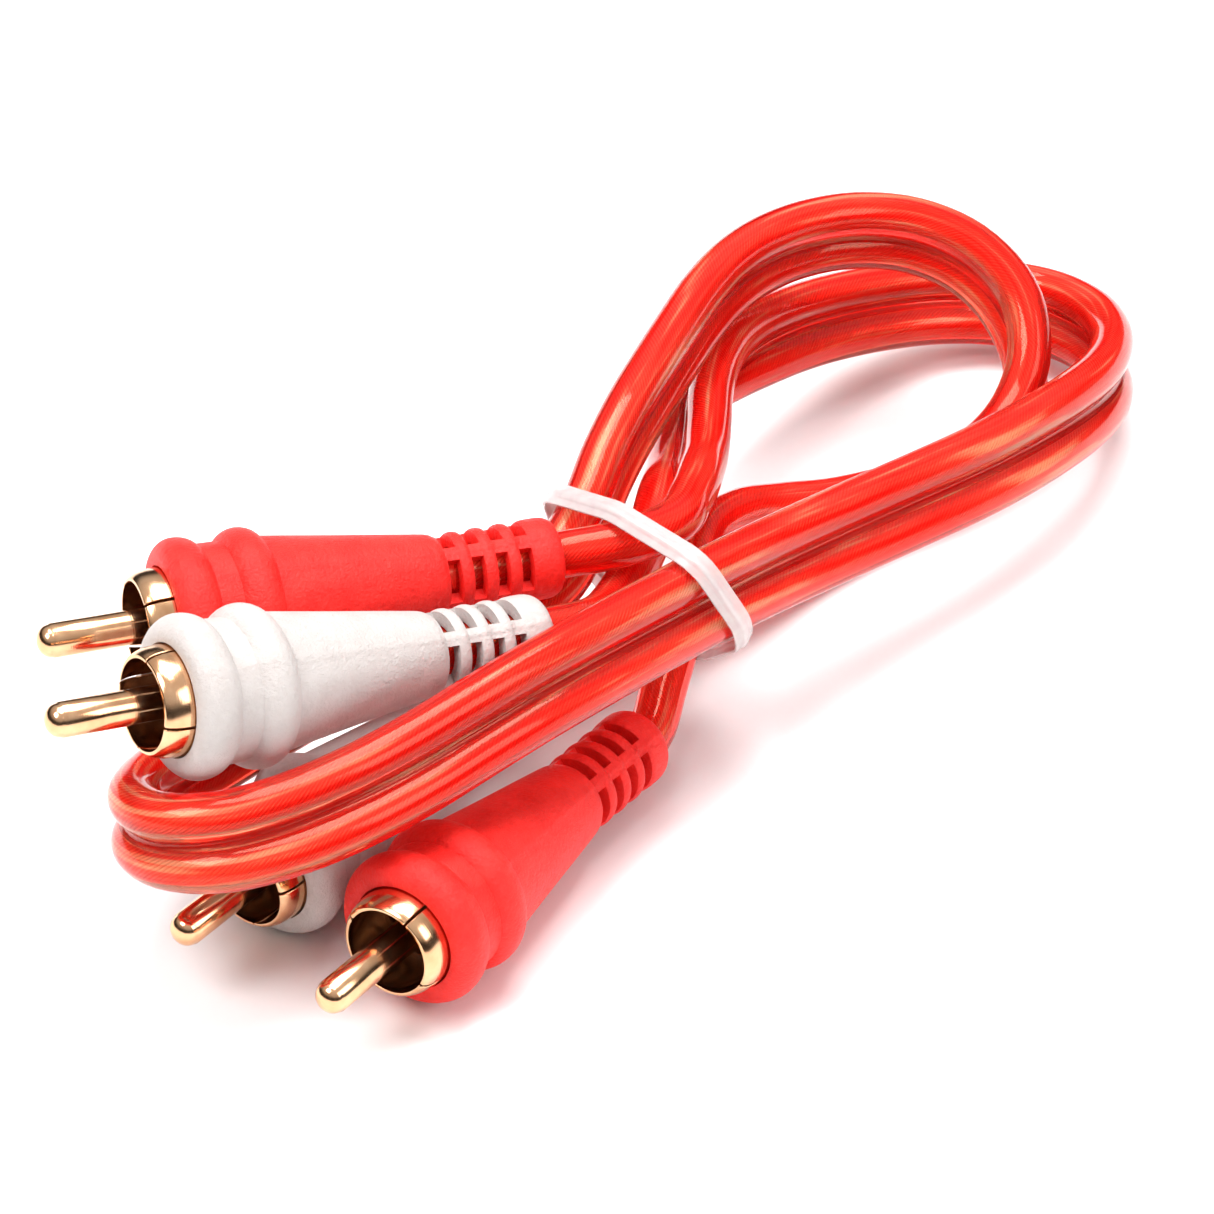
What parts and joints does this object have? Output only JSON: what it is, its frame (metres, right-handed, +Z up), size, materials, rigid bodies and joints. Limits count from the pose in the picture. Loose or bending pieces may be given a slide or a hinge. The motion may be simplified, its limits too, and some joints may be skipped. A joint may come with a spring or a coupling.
{
  "type": "stereo phono patch cable",
  "caption": "Short stereo audio patch cable with red and white moulded phono plugs and gold contacts, its clear red twin cord folded into a hank under a clear twist tie.",
  "frame": {"origin": "under the middle of the bounding box, on the plane that the hank lies on", "axes": "+Z up; the plugs' noses point towards -X and -Y and the hank's two round bends lie towards +X and +Y"},
  "size_m": [0.1056, 0.1208, 0.036],
  "materials": {
    "red_boot": "matt red moulded vinyl with a fine grain",
    "white_boot": "matt white moulded vinyl with a fine grain",
    "gold": "polished gold plating on brass",
    "insulator": "dark brown satin",
    "mould": "plain, hidden inside the boot",
    "copper": "bare copper wire",
    "cord_jacket": "clear red glossy vinyl over a spiral copper shield",
    "tie_plastic": "clear soft plastic",
    "tie_wire": "bright wire"
  },
  "bodies": {
    "root": {"a_red_boot": "red_boot", "a_red_collar": "gold", "a_red_pin": "gold", "a_red_insulator": "insulator", "a_red_mould": "mould", "a_red_conductor": "copper", "a_white_boot": "white_boot", "a_white_collar": "gold", "a_white_pin": "gold", "a_white_insulator": "insulator", "a_white_mould": "mould", "a_white_conductor": "copper", "b_red_boot": "red_boot", "b_red_collar": "gold", "b_red_pin": "gold", "b_red_insulator": "insulator", "b_red_mould": "mould", "b_red_conductor": "copper", "b_white_boot": "white_boot", "b_white_collar": "gold", "b_white_pin": "gold", "b_white_insulator": "insulator", "b_white_mould": "mould", "b_white_conductor": "copper", "strand_red": "cord_jacket", "strand_white": "cord_jacket", "tie_sleeve": "tie_plastic", "tie_wire": "tie_wire"}
  },
  "joints": []
}
